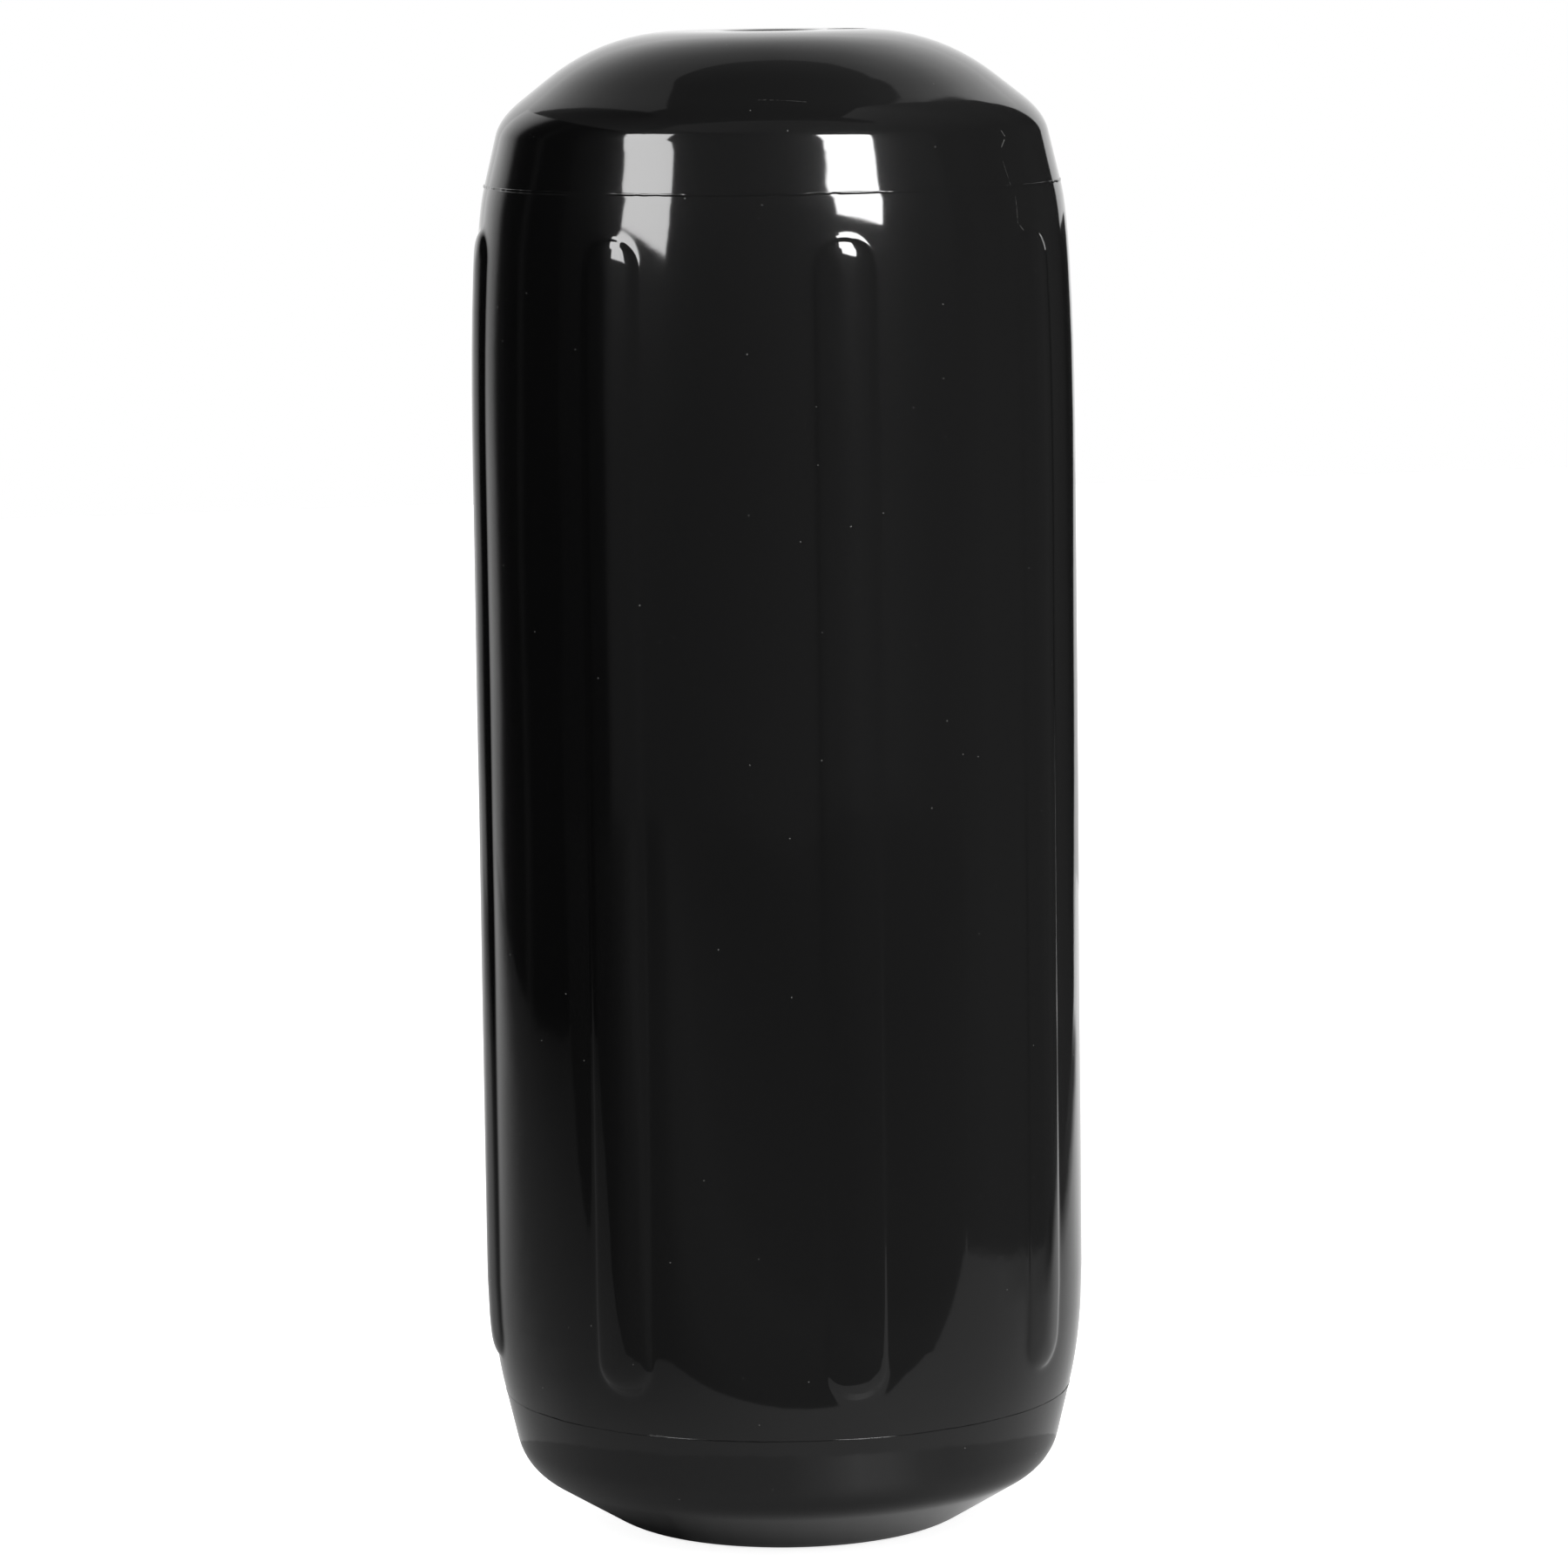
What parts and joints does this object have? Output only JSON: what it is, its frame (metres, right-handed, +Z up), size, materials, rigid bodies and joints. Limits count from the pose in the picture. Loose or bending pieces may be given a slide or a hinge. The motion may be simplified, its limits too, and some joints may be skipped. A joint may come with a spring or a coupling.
{
  "type": "boat fender",
  "caption": "Ribbed cylindrical boat fender of inflated glossy vinyl, with drafted end collars, coned ends and a rope tube right through its length.",
  "frame": {"origin": "on the fender's axis, in the middle of the flat bottom face that it stands on", "axes": "+Z up along the rope tube towards the end with the needle valve; a rib faces -Y; the valve lies on the +X side of the tube"},
  "size_m": [0.207, 0.207, 0.508],
  "materials": {
    "body_vinyl": "high gloss, moulded black vinyl",
    "valve_rubber": "matt black rubber"
  },
  "bodies": {
    "root": {"fender_body": "body_vinyl", "needle_valve": "valve_rubber"}
  },
  "joints": []
}
